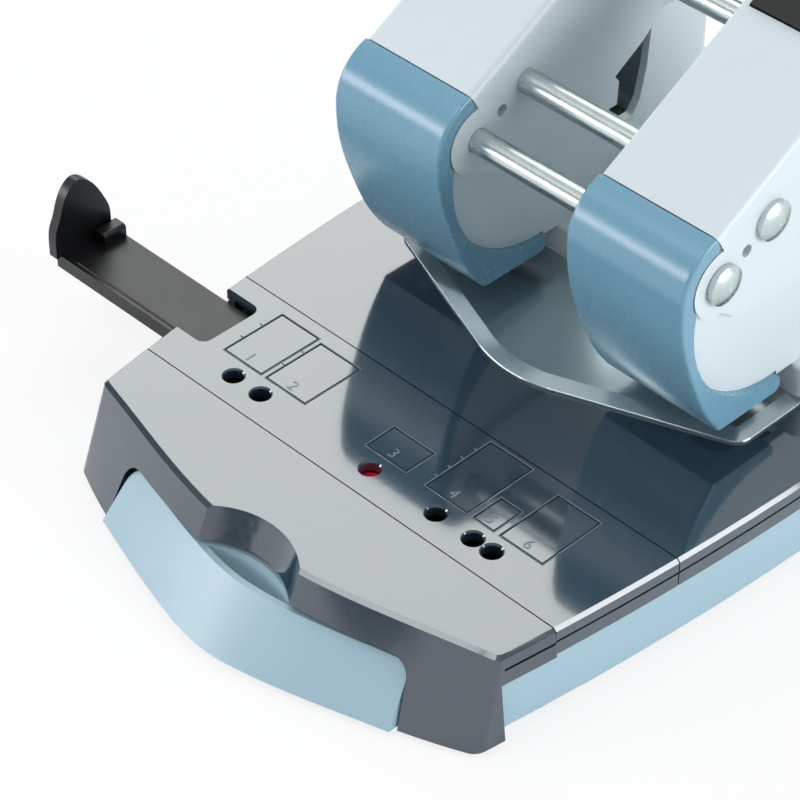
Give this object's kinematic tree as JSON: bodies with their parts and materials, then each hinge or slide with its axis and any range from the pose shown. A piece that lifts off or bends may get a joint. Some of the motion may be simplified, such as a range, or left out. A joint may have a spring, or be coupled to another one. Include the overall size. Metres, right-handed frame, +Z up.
{
  "type": "two-hole punch",
  "caption": "Two-hole desk punch: hinged double-arm lever, punches in two heads, sliding paper stop rail with format windows, chip drawer.",
  "frame": {"origin": "on the desk under the middle foot, midway between the two punch axes", "axes": "+X to the user's right, +Y from the paper slot to the rear, +Z up"},
  "size_m": [0.1783, 0.221, 0.1471],
  "materials": {
    "light_blue": "satin moulded plastic",
    "dark_gloss": "high gloss dark grey-blue",
    "foot_rubber": "matt rubber",
    "bright_steel": "bright zinc",
    "light_grey_paint": "light grey satin paint",
    "blue_grey_moulding": "satin blue-grey",
    "black_plastic": "fine-grained black",
    "red_plastic": "red"
  },
  "bodies": {
    "frame": {"base_tray": "light_blue", "front_cover": "dark_gloss", "format_cover": "dark_gloss", "rear_deck": "dark_gloss", "foot_1": "foot_rubber", "foot_2": "foot_rubber", "foot_3": "foot_rubber", "foot_4": "foot_rubber", "foot_5": "foot_rubber", "floor_screw_1": "bright_steel", "floor_screw_2": "bright_steel", "floor_screw_3": "bright_steel", "floor_screw_4": "bright_steel", "ramp_plate": "light_grey_paint", "die_ring_left": "bright_steel", "die_ring_right": "bright_steel", "spacer_block": "light_grey_paint", "rail_guide": "black_plastic", "pivot_rod": "bright_steel", "housing_left": "light_grey_paint", "housing_right": "light_grey_paint", "cap_left": "blue_grey_moulding", "cap_right": "blue_grey_moulding", "guide_block_left": "black_plastic", "guide_block_right": "black_plastic", "clamp_bolt_left": "bright_steel", "clamp_bolt_right": "bright_steel", "return_spring_left": "bright_steel", "return_spring_right": "bright_steel"},
    "lever": {"arm_left": "light_grey_paint", "arm_right": "light_grey_paint", "press_rod": "bright_steel", "tie_rod": "bright_steel", "handle_insert_left": "black_plastic", "handle_insert_right": "black_plastic", "handle_grip": "black_plastic"},
    "punch_left": {"punch_left": "bright_steel"},
    "punch_right": {"punch_right": "bright_steel"},
    "chip_drawer": {"chip_drawer": "light_blue"},
    "stop_rail": {"stop_rail": "black_plastic", "rail_fin": "black_plastic", "red_marker": "red_plastic"}
  },
  "joints": [
    {"name": "lever_hinge", "type": "hinge", "parent": "frame", "child": "lever", "pos_m": [0, -0.0171, 0.0732], "axis": [-1, 0, 0], "range_deg": [0, 32], "stiffness_Nm_per_rad": 0.45, "springref_deg": -68.75, "deforming": ["return_spring_left", "return_spring_right"]},
    {"name": "punch_left_slide", "type": "slide", "parent": "frame", "child": "punch_left", "axis": [0, 0, -1], "range_m": [0, 0.00925]},
    {"name": "punch_right_slide", "type": "slide", "parent": "frame", "child": "punch_right", "axis": [0, 0, -1], "range_m": [0, 0.00925]},
    {"name": "drawer_slide", "type": "slide", "parent": "frame", "child": "chip_drawer", "axis": [0, -1, 0], "range_m": [0, 0.08]},
    {"name": "rail_slide", "type": "slide", "parent": "frame", "child": "stop_rail", "axis": [1, 0, 0], "range_m": [-0.0435, 0.0365]}
  ],
  "couplings": [
    {"joint": "punch_left_slide", "follows": "lever_hinge", "m_per_rad": 0.016473},
    {"joint": "punch_right_slide", "follows": "lever_hinge", "m_per_rad": 0.016473}
  ]
}
